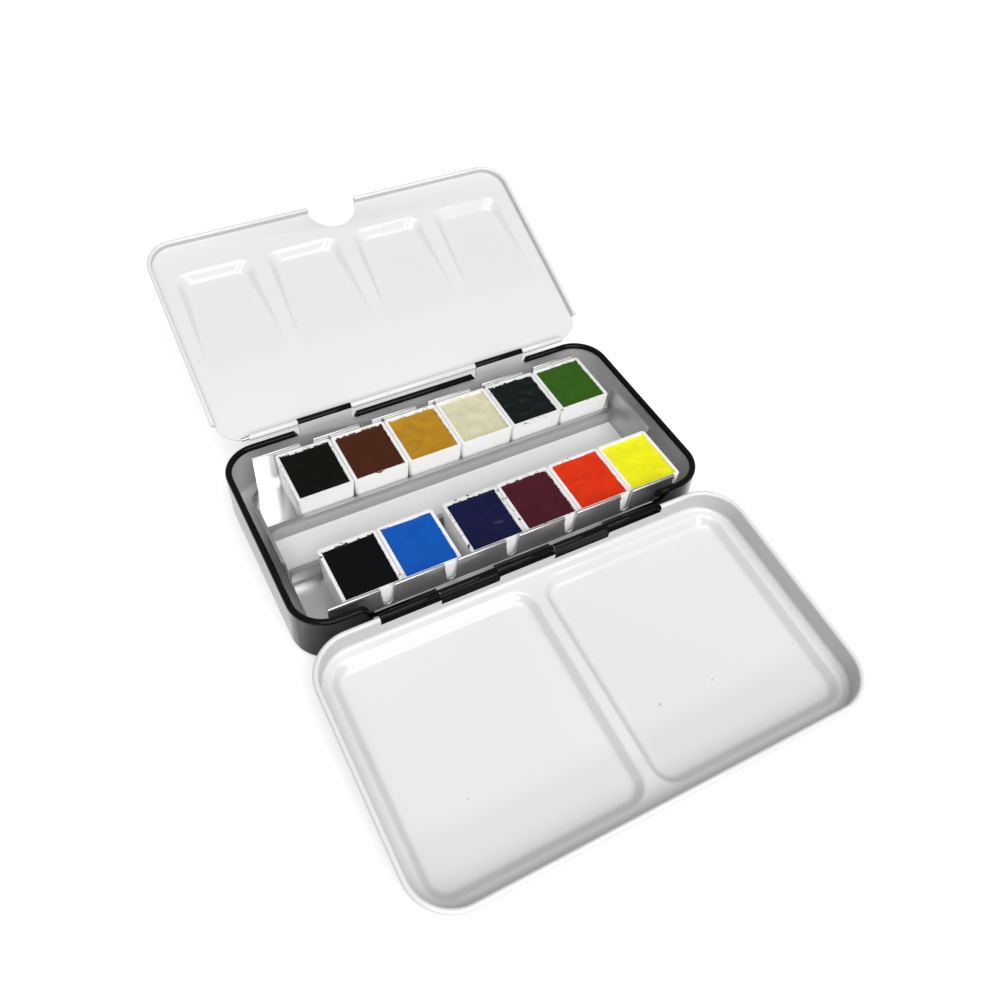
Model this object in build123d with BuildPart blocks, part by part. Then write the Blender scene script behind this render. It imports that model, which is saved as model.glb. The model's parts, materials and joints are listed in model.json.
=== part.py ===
from build123d import *
from math import asin, atan2, cos, degrees, hypot, radians, sin, tan
import os

# Watercolour paint set: a pressed-tin box lying open, with its lid folded out
# to the front, a folding palette leaf leaning out at the back, and a bright
# rack that holds two rows of half pans with a brush gap between them.
# Millimetres, +Z up, origin on the table under the middle of the box.
# +X runs along the hinges, +Y runs from the lid's hinge to the leaf's hinge.

# driving dimensions

# box
base_length = 120.0
base_width = 65.0
base_height = 16.5
base_corner = 10.0
base_foot_radius = 2.0
base_bead_diameter = 1.8
base_bead_proud = 0.06
sheet = 0.4

# hinge wires and knuckles
wire_diameter = 1.0
fixed_bore_gap = 0.02
running_gap = 0.06
barrel_radius = 0.95
knuckle_end_gap = 0.15

# front hinge, which carries the lid: five equal knuckles
lid_hinge_length = 82.0
lid_knuckles = 5
lid_axis_out = 2.2
lid_axis_z = 14.3
lid_wire_overhang = 1.2

# back hinge, which carries the leaf
leaf_hinge_half = 50.0
leaf_tab_inner = 20.0
leaf_tab_outer = 36.0
leaf_axis_out = 0.6
leaf_axis_rise = 1.6
leaf_wire_overhang = 2.2
rim_cut_margin = 2.0
rim_cut_slope = 1.5

# lid
lid_side_gap = 0.4
lid_back_gap = 0.3
lid_bead_diameter = 1.5
lid_over_leaf_gap = 0.35
lid_shoulder_radius = 1.6
lid_ledge = 3.0
lid_well_slope = 42.0
lid_well_corner = 6.0
lid_well_top_radius = 1.0
lid_well_floor_radius = 2.2
lid_ridge_width = 2.6
lid_cutout_rise = 2.6
table_gap = 0.02

# palette leaf
leaf_tilt = 22.3
leaf_length = 117.0
leaf_width = 65.5
leaf_corner = 7.5
leaf_rim_diameter = 1.2
leaf_over_base_gap = 0.1
leaf_lip_start = 6.0
leaf_well_count = 4
leaf_well_pitch = 27.4
leaf_well_near = 24.0
leaf_well_far = 54.2
leaf_well_near_half = 11.4
leaf_well_far_half = 10.7
leaf_well_depth = 2.5
leaf_well_draft = 30.0
leaf_well_corner = 1.6
leaf_notch_radius = 7.6

# half pans and paint
pan_length = 18.4
pan_width = 16.0
pan_height = 11.0
pan_draft = 2.5
pan_wall = 0.9
pan_floor = 1.2
pan_corner = 0.8
pan_edge_radius = 0.3
pan_rest_gap = 0.03
pan_pitch = 16.15
pan_row_start_back = -46.0
pan_row_start_front = -47.6
pan_gap_front = 2.7
pans_before_gap = 2
pans_per_row = 6
paint_side_gap = 0.02
paint_below_rim = (0.7, 0.6, 0.7, 0.8, 0.6, 0.5, 0.7, 0.5, 0.6, 0.7, 0.4, 0.6)

# rack
rack_length = 107.0
rack_shift_x = -1.4
rack_shift_y = -2.4
rack_sheet = 0.4
rack_tray_gap = 0.1
rack_floor_corner = 3.5
rack_aisle_half = 8.4
rack_floor_top = 6.1
rack_rest_gap = 0.03
tab_count = 6
tab_pitch = 17.5
tab_slot_top = 4.0
tab_slot_bottom = 2.6
tab_slot_floor = 11.3
tab_top_over_pan = 1.37
tab_hem_height = 1.6
tab_lean = 0.65
tab_pan_gap = 0.05
rail_height = 5.6
rail_thickness = 0.9
rail_hem_height = 2.1
rail_hem_step = 0.3
end_plate_width = 19.5
end_plate_lean_left = 6.0
end_plate_lean_right = 2.0
foot_inset = 3.0

# how closely edges have to agree to count as one level
level_tolerance = 0.01

# derived places

half_length = base_length / 2
half_width = base_width / 2
base_bead_r = base_bead_diameter / 2
base_bead_z = base_height - base_bead_r
wire_r = wire_diameter / 2
fixed_bore_r = wire_r + fixed_bore_gap
running_bore_r = wire_r + running_gap

lid_axis_y = -half_width - lid_axis_out
leaf_axis_y = half_width + leaf_axis_out
leaf_axis_z = base_height + leaf_axis_rise

leaf_sheet_low = -barrel_radius
leaf_sheet_top = leaf_sheet_low + sheet
leaf_rim_r = leaf_rim_diameter / 2
leaf_rim_top = leaf_axis_rise - leaf_over_base_gap
leaf_rim_z = leaf_rim_top - leaf_rim_r
leaf_wall_outer_x = leaf_length / 2 - leaf_rim_diameter + sheet
leaf_wall_outer_v = leaf_width - leaf_rim_diameter + sheet

# the lid is drawn in its own frame: x along the hinge, v away from the hinge,
# w from the hinge axis towards the lid's outside
lid_near_v = lid_axis_out - lid_side_gap
lid_far_v = leaf_axis_y + barrel_radius + lid_back_gap - lid_axis_y
lid_inner_x = half_length + lid_side_gap
lid_inner_corner = base_corner + lid_side_gap
lid_bead_r = lid_bead_diameter / 2
lid_bead_w = -lid_bead_r - lid_side_gap / 4
lid_ledge_w = leaf_axis_z + barrel_radius + lid_over_leaf_gap - lid_axis_z
lid_floor_w = lid_ledge_w + leaf_well_depth
lid_mid_v = (lid_near_v + lid_far_v) / 2
lid_inner_width = lid_far_v - lid_near_v
well_depth = lid_floor_w - lid_ledge_w
well_run = well_depth * tan(radians(lid_well_slope))
well_half = lid_inner_x - lid_ledge
well_length = well_half - lid_ridge_width / 2
well_width = lid_inner_width - 2 * lid_ledge
well_mid_x = (well_half + lid_ridge_width / 2) / 2
well_grow = sheet * tan(radians((90 - lid_well_slope) / 2))

# the open lid leans down until the rounded edge of its well floor meets the table
lid_foot_r = lid_well_floor_radius + sheet
lid_foot_back = lid_foot_r * tan(radians((90 - lid_well_slope) / 2))
lid_foot_v = lid_mid_v + well_width / 2 + well_grow - well_run - lid_foot_back
lid_foot_w = lid_floor_w + sheet - lid_foot_r
lid_foot_rise = (lid_axis_z - lid_foot_r - table_gap) / hypot(lid_foot_v, lid_foot_w)
lid_tilt = degrees(asin(lid_foot_rise) - atan2(lid_foot_w, lid_foot_v))
lid_turn = radians(180 + lid_tilt)
lid_v_dir = (0, cos(lid_turn), sin(lid_turn))
lid_w_dir = (0, -sin(lid_turn), cos(lid_turn))
lid_frame = Plane(origin=(0, lid_axis_y, lid_axis_z), x_dir=(1, 0, 0), z_dir=lid_w_dir)

leaf_turn = radians(leaf_tilt)
leaf_v_dir = (0, cos(leaf_turn), sin(leaf_turn))
leaf_n_dir = (0, -sin(leaf_turn), cos(leaf_turn))
leaf_frame = Plane(origin=(0, leaf_axis_y, leaf_axis_z), x_dir=(1, 0, 0), z_dir=leaf_n_dir)

# front hinge knuckle spans, counted from the left; the lid has 0, 2 and 4
lid_knuckle_length = lid_hinge_length / lid_knuckles
lid_spans = [
    (-lid_hinge_length / 2 + n * lid_knuckle_length, -lid_hinge_length / 2 + (n + 1) * lid_knuckle_length)
    for n in range(lid_knuckles)
]
lid_flange_top = lid_axis_z - barrel_radius + sheet
lid_flange_low = lid_axis_z - barrel_radius

pan_rest_z = rack_floor_top + pan_rest_gap
pan_top_z = pan_rest_z + pan_height
tab_top_z = pan_top_z + tab_top_over_pan
tab_inner_top = rack_aisle_half + rack_tray_gap + pan_length + tab_pan_gap
tray_inner = tab_inner_top + tab_lean
rack_half = tray_inner + rack_sheet

os.makedirs("parts", exist_ok=True)


def level_edges(edges, frame, height):
    """Those edges that lie wholly at one height above a frame's plane."""
    return edges.filter_by(
        lambda e: all(abs(frame.to_local_coords(e @ t).Z - height) < level_tolerance for t in (0, 0.5, 1))
    )


# box: drawn tin with an inward bead, cut away at both hinges

with BuildPart() as base_inside:
    with BuildSketch(Plane.XY.offset(sheet)):
        RectangleRounded(base_length - 2 * sheet, base_width - 2 * sheet, base_corner - sheet)
    extrude(amount=base_bead_z)
    fillet(base_inside.faces().sort_by(Axis.Z)[0].edges(), base_foot_radius - sheet)

with BuildPart() as base_box:
    with BuildSketch():
        RectangleRounded(base_length, base_width, base_corner)
    extrude(amount=base_bead_z)
    fillet(base_box.faces().sort_by(Axis.Z)[0].edges(), base_foot_radius)
    add(base_inside.part, mode=Mode.SUBTRACT)

    # bead round both ends, running on to the hinges
    bead_x = half_length - base_bead_r + base_bead_proud
    bead_y = half_width - base_bead_r + base_bead_proud
    for side in (-1, 1):
        with BuildLine(Plane.XY.offset(base_bead_z)) as end_bead:
            FilletPolyline(
                (side * lid_hinge_length / 2, -bead_y),
                (side * bead_x, -bead_y),
                (side * bead_x, bead_y),
                (side * leaf_tab_outer, bead_y),
                radius=base_corner - base_bead_r + base_bead_proud,
            )
        with BuildSketch(Plane(origin=end_bead.line @ 0, z_dir=end_bead.line % 0)):
            Circle(base_bead_r)
        sweep(path=end_bead.line)
    with BuildSketch(Plane.YZ.offset(-leaf_tab_inner)):
        with Locations((bead_y, base_bead_z)):
            Circle(base_bead_r)
    extrude(amount=2 * leaf_tab_inner)

    # slanting cuts that free the wall at the front hinge and the two back tabs
    cut_low = base_bead_z - base_bead_r - sheet / 2
    cut_high = base_height + sheet
    with BuildSketch(Plane.XZ.offset(half_width - base_bead_diameter - sheet)):
        with BuildLine():
            Polyline(
                (-lid_hinge_length / 2, lid_flange_top),
                (lid_hinge_length / 2, lid_flange_top),
                (lid_hinge_length / 2 + 2 * rim_cut_margin, cut_high),
                (-lid_hinge_length / 2 - 2 * rim_cut_margin, cut_high),
                close=True,
            )
        make_face()
    extrude(amount=base_bead_diameter + 2 * sheet, mode=Mode.SUBTRACT)
    for side in (-1, 1):
        with BuildSketch(Plane.XZ.offset(-half_width - sheet)):
            with BuildLine():
                Polyline(
                    (side * (leaf_tab_inner - rim_cut_margin + rim_cut_slope), cut_low),
                    (side * (leaf_tab_outer + rim_cut_margin - rim_cut_slope), cut_low),
                    (side * (leaf_tab_outer + rim_cut_margin), cut_high),
                    (side * (leaf_tab_inner - rim_cut_margin), cut_high),
                    close=True,
                )
            make_face()
        extrude(amount=base_bead_diameter + 2 * sheet, mode=Mode.SUBTRACT)

    # front knuckles: a flange turned out of the wall and curled round the wire
    for low_x, high_x in (lid_spans[1], lid_spans[3]):
        with BuildSketch(Plane.YZ.offset(low_x + knuckle_end_gap / 2)):
            with Locations((lid_axis_y, lid_axis_z)):
                Circle(barrel_radius)
            with Locations((lid_axis_y, lid_flange_low)):
                Rectangle(lid_axis_out + sheet, sheet, align=(Align.MIN, Align.MIN))
            with Locations((lid_axis_y, lid_axis_z)):
                Circle(fixed_bore_r, mode=Mode.SUBTRACT)
        extrude(amount=high_x - low_x - knuckle_end_gap)

    # back knuckles: the wall runs up as a tab and curls outwards
    for low_x in (-leaf_tab_outer, leaf_tab_inner):
        with BuildSketch(Plane.YZ.offset(low_x + knuckle_end_gap / 2)):
            with Locations((leaf_axis_y, leaf_axis_z)):
                Circle(barrel_radius)
            with Locations((half_width - sheet, cut_low - sheet)):
                Rectangle(sheet, leaf_axis_z - cut_low + sheet, align=(Align.MIN, Align.MIN))
            with Locations((leaf_axis_y, leaf_axis_z)):
                Circle(fixed_bore_r, mode=Mode.SUBTRACT)
        extrude(amount=leaf_tab_outer - leaf_tab_inner - knuckle_end_gap)
base_box.part.label = "base_box"
export_step(base_box.part, "parts/base_box.step")

# lid: drawn tin with an outward bead and two mixing wells

with BuildPart() as lid_inside:
    with BuildSketch(lid_frame.offset(lid_bead_w - sheet)):
        with Locations((0, lid_mid_v)):
            RectangleRounded(2 * lid_inner_x, lid_inner_width, lid_inner_corner)
    extrude(amount=lid_ledge_w - lid_bead_w + sheet)
    inner_top = lid_inside.faces().sort_by(Axis(lid_frame.origin, lid_w_dir))[-1]
    fillet(inner_top.edges(), lid_shoulder_radius - sheet)
    for side in (-1, 1):
        with BuildSketch(lid_frame.offset(lid_ledge_w)):
            with Locations((side * well_mid_x, lid_mid_v)):
                RectangleRounded(well_length, well_width, lid_well_corner)
        extrude(amount=well_depth, taper=lid_well_slope)
    fillet(level_edges(lid_inside.edges(), lid_frame, lid_floor_w), lid_well_floor_radius)
    fillet(level_edges(lid_inside.edges(), lid_frame, lid_ledge_w), lid_well_top_radius + sheet)

with BuildPart() as lid:
    with BuildSketch(lid_frame.offset(lid_bead_w)):
        with Locations((0, lid_mid_v)):
            RectangleRounded(
                2 * (lid_inner_x + sheet), lid_inner_width + 2 * sheet, lid_inner_corner + sheet
            )
    extrude(amount=lid_ledge_w + sheet - lid_bead_w)
    top_face = lid.faces().sort_by(Axis(lid_frame.origin, lid_w_dir))[-1]
    fillet(top_face.edges(), lid_shoulder_radius)
    for side in (-1, 1):
        with BuildSketch(lid_frame.offset(lid_ledge_w + sheet)):
            with Locations((side * well_mid_x, lid_mid_v)):
                RectangleRounded(
                    well_length + 2 * well_grow, well_width + 2 * well_grow, lid_well_corner + well_grow
                )
        extrude(amount=well_depth, taper=lid_well_slope)
    fillet(level_edges(lid.edges(), lid_frame, lid_floor_w + sheet), lid_foot_r)
    fillet(level_edges(lid.edges(), lid_frame, lid_ledge_w + sheet), lid_well_top_radius)

    # hollow out to one sheet thickness
    add(lid_inside.part, mode=Mode.SUBTRACT)

    # the wall is cut back along the hinge, and further where the box's knuckles stand
    hinge_cut = lid_hinge_length + knuckle_end_gap
    with BuildSketch(lid_frame.offset(lid_bead_w - sheet)):
        with Locations((0, lid_near_v)):
            Rectangle(hinge_cut, 2 * sheet + lid_bead_r)
    extrude(amount=barrel_radius - sheet - lid_bead_w + sheet, mode=Mode.SUBTRACT)
    for low_x, high_x in (lid_spans[1], lid_spans[3]):
        with BuildSketch(lid_frame.offset(0)):
            with Locations(((low_x + high_x) / 2, lid_near_v)):
                Rectangle(high_x - low_x + knuckle_end_gap, 2 * sheet + lid_bead_r)
        extrude(amount=lid_cutout_rise, mode=Mode.SUBTRACT)

    # outward bead, open at the hinge
    bead_lid_x = lid_inner_x + lid_bead_r
    bead_near_v = lid_near_v - lid_bead_r
    bead_far_v = lid_far_v + lid_bead_r
    with BuildLine(lid_frame.offset(lid_bead_w)) as lid_bead:
        FilletPolyline(
            (hinge_cut / 2, bead_near_v),
            (bead_lid_x, bead_near_v),
            (bead_lid_x, bead_far_v),
            (-bead_lid_x, bead_far_v),
            (-bead_lid_x, bead_near_v),
            (-hinge_cut / 2, bead_near_v),
            radius=lid_inner_corner + lid_bead_r,
        )
    with BuildSketch(Plane(origin=lid_bead.line @ 0, z_dir=lid_bead.line % 0)):
        Circle(lid_bead_r)
    sweep(path=lid_bead.line)

    # knuckles: the wall turns out and curls round the wire
    for low_x, high_x in (lid_spans[0], lid_spans[2], lid_spans[4]):
        knuckle_at = (low_x + knuckle_end_gap / 2, lid_axis_y, lid_axis_z)
        with BuildSketch(Plane(origin=knuckle_at, x_dir=lid_v_dir, z_dir=(1, 0, 0))):
            Circle(barrel_radius)
            with Locations((0, barrel_radius - sheet)):
                Rectangle(lid_near_v, sheet, align=(Align.MIN, Align.MIN))
            Circle(running_bore_r, mode=Mode.SUBTRACT)
        extrude(amount=high_x - low_x - knuckle_end_gap)
lid.part.label = "lid"
export_step(lid.part, "parts/lid.step")

# palette leaf: shallow tray with four ramped wells and a thumb notch

# a well is deep towards the free edge and ramps up to nothing towards the hinge
well_skins = []
well_hollows = []
for skin, pressed in ((sheet, well_skins), (0, well_hollows)):
    for n in range(leaf_well_count):
        mid_x = (n - (leaf_well_count - 1) / 2) * leaf_well_pitch
        ramp_x = mid_x - leaf_well_pitch / 2
        with BuildPart() as well:
            with BuildSketch(leaf_frame.offset(leaf_sheet_top)):
                with BuildLine():
                    FilletPolyline(
                        (mid_x - leaf_well_near_half - skin, leaf_well_near),
                        (mid_x + leaf_well_near_half + skin, leaf_well_near),
                        (mid_x + leaf_well_far_half + skin, leaf_well_far + skin),
                        (mid_x - leaf_well_far_half - skin, leaf_well_far + skin),
                        radius=leaf_well_corner + skin,
                        close=True,
                    )
                make_face()
            extrude(amount=-(leaf_well_depth + skin), taper=leaf_well_draft)
            ramp_at = (ramp_x, leaf_axis_y, leaf_axis_z)
            with BuildSketch(Plane(origin=ramp_at, x_dir=leaf_v_dir, z_dir=(1, 0, 0))):
                with BuildLine():
                    Polyline(
                        (leaf_well_near - leaf_well_corner, leaf_sheet_top - skin),
                        (leaf_well_near, leaf_sheet_top - skin),
                        (leaf_well_far, leaf_sheet_top - leaf_well_depth - skin),
                        (leaf_well_far, leaf_sheet_top - 2 * leaf_well_depth),
                        (leaf_well_near - leaf_well_corner, leaf_sheet_top - 2 * leaf_well_depth),
                        close=True,
                    )
                make_face()
            extrude(amount=leaf_well_pitch, mode=Mode.SUBTRACT)
        pressed.append(well.part)

with BuildPart() as leaf:
    with BuildSketch(leaf_frame.offset(leaf_sheet_low)):
        with Locations((0, leaf_wall_outer_v / 2)):
            RectangleRounded(2 * leaf_wall_outer_x, leaf_wall_outer_v, leaf_corner)
    extrude(amount=sheet)

    # lip on three sides
    with BuildSketch(leaf_frame.offset(leaf_sheet_low)):
        with Locations((0, leaf_wall_outer_v / 2)):
            RectangleRounded(2 * leaf_wall_outer_x, leaf_wall_outer_v, leaf_corner)
            RectangleRounded(
                2 * (leaf_wall_outer_x - sheet),
                leaf_wall_outer_v - 2 * sheet,
                leaf_corner - sheet,
                mode=Mode.SUBTRACT,
            )
        with Locations((0, leaf_lip_start / 2 - sheet)):
            Rectangle(leaf_length, leaf_lip_start + 2 * sheet, mode=Mode.SUBTRACT)
    extrude(amount=leaf_rim_z - leaf_sheet_low)
    for side in (-1, 1):
        with BuildLine(leaf_frame.offset(leaf_rim_z)) as leaf_rim:
            FilletPolyline(
                (side * (leaf_length / 2 - leaf_rim_r), leaf_lip_start),
                (side * (leaf_length / 2 - leaf_rim_r), leaf_width - leaf_rim_r),
                (0, leaf_width - leaf_rim_r),
                radius=leaf_corner + leaf_rim_r - sheet,
            )
        with BuildSketch(Plane(origin=leaf_rim.line @ 0, z_dir=leaf_rim.line % 0)):
            Circle(leaf_rim_r)
        sweep(path=leaf_rim.line)

    # each well is pressed down in its own skin, then hollowed
    for well in well_skins:
        add(well)
    for well in well_hollows:
        add(well, mode=Mode.SUBTRACT)

    # thumb notch in the free edge
    with BuildSketch(leaf_frame.offset(leaf_sheet_low - sheet)):
        with Locations((0, leaf_width)):
            Circle(leaf_notch_radius)
    extrude(amount=leaf_rim_top - leaf_sheet_low + 2 * sheet, mode=Mode.SUBTRACT)

    # room for the box's two knuckles, then the leaf's own three
    for side in (-1, 1):
        with BuildSketch(leaf_frame.offset(leaf_sheet_low - sheet)):
            with Locations((side * (leaf_tab_inner + leaf_tab_outer) / 2, 0)):
                Rectangle(
                    leaf_tab_outer - leaf_tab_inner + 2 * knuckle_end_gap,
                    2 * (barrel_radius + lid_back_gap),
                )
        extrude(amount=3 * sheet, mode=Mode.SUBTRACT)
    for low_x, high_x in (
        (-leaf_hinge_half, -leaf_tab_outer),
        (-leaf_tab_inner, leaf_tab_inner),
        (leaf_tab_outer, leaf_hinge_half),
    ):
        knuckle_at = (low_x + knuckle_end_gap / 2, leaf_axis_y, leaf_axis_z)
        with BuildSketch(Plane(origin=knuckle_at, x_dir=leaf_v_dir, z_dir=(1, 0, 0))):
            Circle(barrel_radius)
            Circle(running_bore_r, mode=Mode.SUBTRACT)
        extrude(amount=high_x - low_x - knuckle_end_gap)
    for low_x, high_x in (
        (-leaf_hinge_half, -leaf_tab_outer),
        (-leaf_tab_inner, leaf_tab_inner),
        (leaf_tab_outer, leaf_hinge_half),
    ):
        bore_at = (low_x, leaf_axis_y, leaf_axis_z)
        with BuildSketch(Plane(origin=bore_at, x_dir=leaf_v_dir, z_dir=(1, 0, 0))):
            Circle(running_bore_r)
        extrude(amount=high_x - low_x, mode=Mode.SUBTRACT)
leaf.part.label = "leaf"
export_step(leaf.part, "parts/leaf.step")

# hinge wires

with BuildPart() as lid_wire:
    wire_low = -lid_hinge_length / 2 - lid_wire_overhang
    with BuildSketch(Plane.YZ.offset(wire_low)):
        with Locations((lid_axis_y, lid_axis_z)):
            Circle(wire_r)
    extrude(amount=lid_hinge_length / 2 - wire_low)
lid_wire.part.label = "lid_wire"
export_step(lid_wire.part, "parts/lid_wire.step")

with BuildPart() as leaf_wire:
    wire_low = -leaf_hinge_half - leaf_wire_overhang
    with BuildSketch(Plane.YZ.offset(wire_low)):
        with Locations((leaf_axis_y, leaf_axis_z)):
            Circle(wire_r)
    extrude(amount=leaf_hinge_half - wire_low)
leaf_wire.part.label = "leaf_wire"
export_step(leaf_wire.part, "parts/leaf_wire.step")

# rack: two trays, spring tabs outside, rails and end plates at the brush gap

with BuildPart() as rack:
    rack_low = rack_floor_top - rack_sheet
    foot_low = sheet + rack_rest_gap
    with BuildSketch(Plane.XY.offset(rack_low)):
        with Locations((rack_shift_x, rack_shift_y)):
            floor_plate = Rectangle(rack_length, 2 * rack_half)
        chamfer(floor_plate.vertices(), rack_floor_corner)
    extrude(amount=rack_sheet)

    # outer walls lean in to the pans and end in a rolled hem
    tab_row = tab_count * tab_pitch - tab_slot_top
    lean_per_mm = tab_lean / (tab_top_z - rack_low)
    crest_z = tab_top_z - rack_sheet
    crest_in = tab_inner_top + lean_per_mm * rack_sheet
    hem_z = tab_top_z - tab_hem_height
    hem_in = tab_inner_top + lean_per_mm * tab_hem_height + rack_sheet
    for side in (-1, 1):
        with BuildSketch(Plane.YZ.offset(rack_shift_x - tab_row / 2)):
            with Locations((rack_shift_y + side * (crest_in + rack_sheet), crest_z)):
                Circle(rack_sheet)
            with BuildLine():
                Polyline(
                    (rack_shift_y + side * tray_inner, rack_low),
                    (rack_shift_y + side * crest_in, crest_z),
                    (rack_shift_y + side * (crest_in + rack_sheet), crest_z),
                    (rack_shift_y + side * rack_half, rack_low),
                    close=True,
                )
            make_face()
            with BuildLine():
                Polyline(
                    (rack_shift_y + side * hem_in, hem_z),
                    (rack_shift_y + side * (crest_in + rack_sheet), crest_z),
                    (rack_shift_y + side * (crest_in + 2 * rack_sheet), crest_z),
                    (rack_shift_y + side * (hem_in + rack_sheet), hem_z),
                    close=True,
                )
            make_face()
        extrude(amount=tab_row)

    # round-bottomed slots part the tabs
    slot_depth = 2 * rack_half + 4 * rack_sheet
    with BuildSketch(Plane.XZ.offset(-rack_shift_y - slot_depth / 2)):
        for n in range(1, tab_count):
            slot_x = rack_shift_x + (n - tab_count / 2) * tab_pitch
            slot_round = tab_slot_bottom / 2
            with BuildLine():
                Polyline(
                    (slot_x - slot_round, tab_slot_floor + slot_round),
                    (slot_x - tab_slot_top / 2, tab_top_z + rack_sheet),
                    (slot_x + tab_slot_top / 2, tab_top_z + rack_sheet),
                    (slot_x + slot_round, tab_slot_floor + slot_round),
                    close=True,
                )
            make_face()
            with Locations((slot_x, tab_slot_floor + slot_round)):
                Circle(slot_round)
    extrude(amount=slot_depth, mode=Mode.SUBTRACT)

    # rails beside the brush gap, each a double fold with a hem on the gap side
    for side in (-1, 1):
        rail_y = rack_shift_y + side * (rack_aisle_half - rail_thickness / 2)
        hem_mid = rack_shift_y + side * (rack_aisle_half - rail_thickness - rail_hem_step / 2)
        with Locations((rack_shift_x, rail_y, rack_floor_top)):
            Box(rack_length, rail_thickness, rail_height, align=(Align.CENTER, Align.CENTER, Align.MIN))
        with Locations((rack_shift_x, hem_mid, rack_floor_top + rail_height - rail_hem_height)):
            Box(rack_length, rail_hem_step, rail_hem_height, align=(Align.CENTER, Align.CENTER, Align.MIN))

    # end plates across the brush gap, leaning out a little
    for side, lean in ((-1, end_plate_lean_left), (1, end_plate_lean_right)):
        fold_x = rack_shift_x + side * rack_length / 2
        lean_dir = (side * sin(radians(lean)), 0, cos(radians(lean)))
        plate_rise = (tab_top_z - rack_low) / cos(radians(lean))
        with BuildSketch(Plane(origin=(fold_x, rack_shift_y, rack_low), x_dir=(0, 1, 0), z_dir=lean_dir)):
            Rectangle(end_plate_width, rack_sheet)
        extrude(amount=plate_rise)
        hem_from = plate_rise - tab_hem_height
        hem_at = (
            fold_x + side * sin(radians(lean)) * hem_from + side * rack_sheet * cos(radians(lean)),
            rack_shift_y,
            rack_low + cos(radians(lean)) * hem_from,
        )
        with BuildSketch(Plane(origin=hem_at, x_dir=(0, 1, 0), z_dir=lean_dir)):
            Rectangle(end_plate_width, rack_sheet)
        extrude(amount=tab_hem_height)

    # feet turned down under the tray ends
    for side_x in (-1, 1):
        for side_y in (-1, 1):
            foot_mid = (rack_aisle_half + rack_half) / 2
            foot_width = rack_half - rack_aisle_half - 2 * foot_inset
            foot_x = rack_shift_x + side_x * (rack_length - rack_sheet) / 2
            with Locations((foot_x, rack_shift_y + side_y * foot_mid, foot_low)):
                Box(
                    rack_sheet,
                    foot_width,
                    rack_floor_top - foot_low,
                    align=(Align.CENTER, Align.CENTER, Align.MIN),
                )
rack.part.label = "rack"
export_step(rack.part, "parts/rack.step")

# half pans and their paint: back row first, left to right

draft_run = pan_height * tan(radians(pan_draft))
for number in range(2 * pans_per_row):
    row = number // pans_per_row
    place = number % pans_per_row
    if row == 0:
        pan_x = pan_row_start_back + (place + 0.5) * pan_pitch
        pan_y = rack_shift_y + rack_aisle_half + rack_tray_gap + pan_length / 2
    else:
        pan_x = pan_row_start_front + (place + 0.5) * pan_pitch
        pan_y = rack_shift_y - rack_aisle_half - rack_tray_gap - pan_length / 2
        if place >= pans_before_gap:
            pan_x = pan_x + pan_gap_front

    with BuildPart() as pan:
        with BuildSketch(Plane.XY.offset(pan_top_z)):
            with Locations((pan_x, pan_y)):
                RectangleRounded(pan_width, pan_length, pan_corner)
        extrude(amount=-pan_height, taper=pan_draft)
        fillet(pan.faces().sort_by(Axis.Z)[0].edges(), pan_edge_radius)
        with BuildSketch(Plane.XY.offset(pan_top_z)):
            with Locations((pan_x, pan_y)):
                RectangleRounded(pan_width - 2 * pan_wall, pan_length - 2 * pan_wall, pan_corner)
        extrude(amount=-(pan_height - pan_floor), taper=pan_draft, mode=Mode.SUBTRACT)
        fillet(pan.faces().sort_by(Axis.Z)[-1].edges(), pan_edge_radius)
    pan.part.label = f"pan_{number + 1:02d}"
    export_step(pan.part, f"parts/pan_{number + 1:02d}.step")

    with BuildPart() as paint:
        fill_drop = paint_below_rim[number]
        fill_shrink = pan_wall + paint_side_gap + fill_drop * tan(radians(pan_draft))
        with BuildSketch(Plane.XY.offset(pan_top_z - fill_drop)):
            with Locations((pan_x, pan_y)):
                RectangleRounded(pan_width - 2 * fill_shrink, pan_length - 2 * fill_shrink, pan_corner)
        extrude(amount=-(pan_height - pan_floor - fill_drop - paint_side_gap), taper=pan_draft)
    paint.part.label = f"paint_{number + 1:02d}"
    export_step(paint.part, f"parts/paint_{number + 1:02d}.step")
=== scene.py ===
# %% [markdown]
# # A pressed-tin watercolour set
# The real set is a black tin with a white enamel inside. Its lid folds out to the front, a thin
# palette leaf folds out at the back, and a bright tinplate rack holds two rows of half pans.
# The CAD model comes in first as a fixed frame, and every new piece is placed by its numbers.

# %% Load the frame
import bpy
import json
import math
import random
from mathutils import Matrix, Vector, noise


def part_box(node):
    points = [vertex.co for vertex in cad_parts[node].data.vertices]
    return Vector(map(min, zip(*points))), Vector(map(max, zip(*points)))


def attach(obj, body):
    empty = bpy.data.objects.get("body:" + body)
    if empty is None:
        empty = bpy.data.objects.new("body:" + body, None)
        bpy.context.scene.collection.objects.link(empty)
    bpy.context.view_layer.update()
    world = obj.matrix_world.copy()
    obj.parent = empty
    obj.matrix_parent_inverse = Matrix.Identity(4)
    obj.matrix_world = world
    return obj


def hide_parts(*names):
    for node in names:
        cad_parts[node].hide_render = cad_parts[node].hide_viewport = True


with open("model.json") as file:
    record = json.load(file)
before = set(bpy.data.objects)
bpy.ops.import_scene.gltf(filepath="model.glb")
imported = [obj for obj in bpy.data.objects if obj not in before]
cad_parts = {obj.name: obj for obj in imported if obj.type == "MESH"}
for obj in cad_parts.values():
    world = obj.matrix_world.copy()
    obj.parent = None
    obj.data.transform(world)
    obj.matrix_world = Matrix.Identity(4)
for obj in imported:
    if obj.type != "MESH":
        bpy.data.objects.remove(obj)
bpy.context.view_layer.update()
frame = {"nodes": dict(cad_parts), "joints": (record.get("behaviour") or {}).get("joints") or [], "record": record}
nodes = frame["nodes"]
body_of = {}
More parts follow.
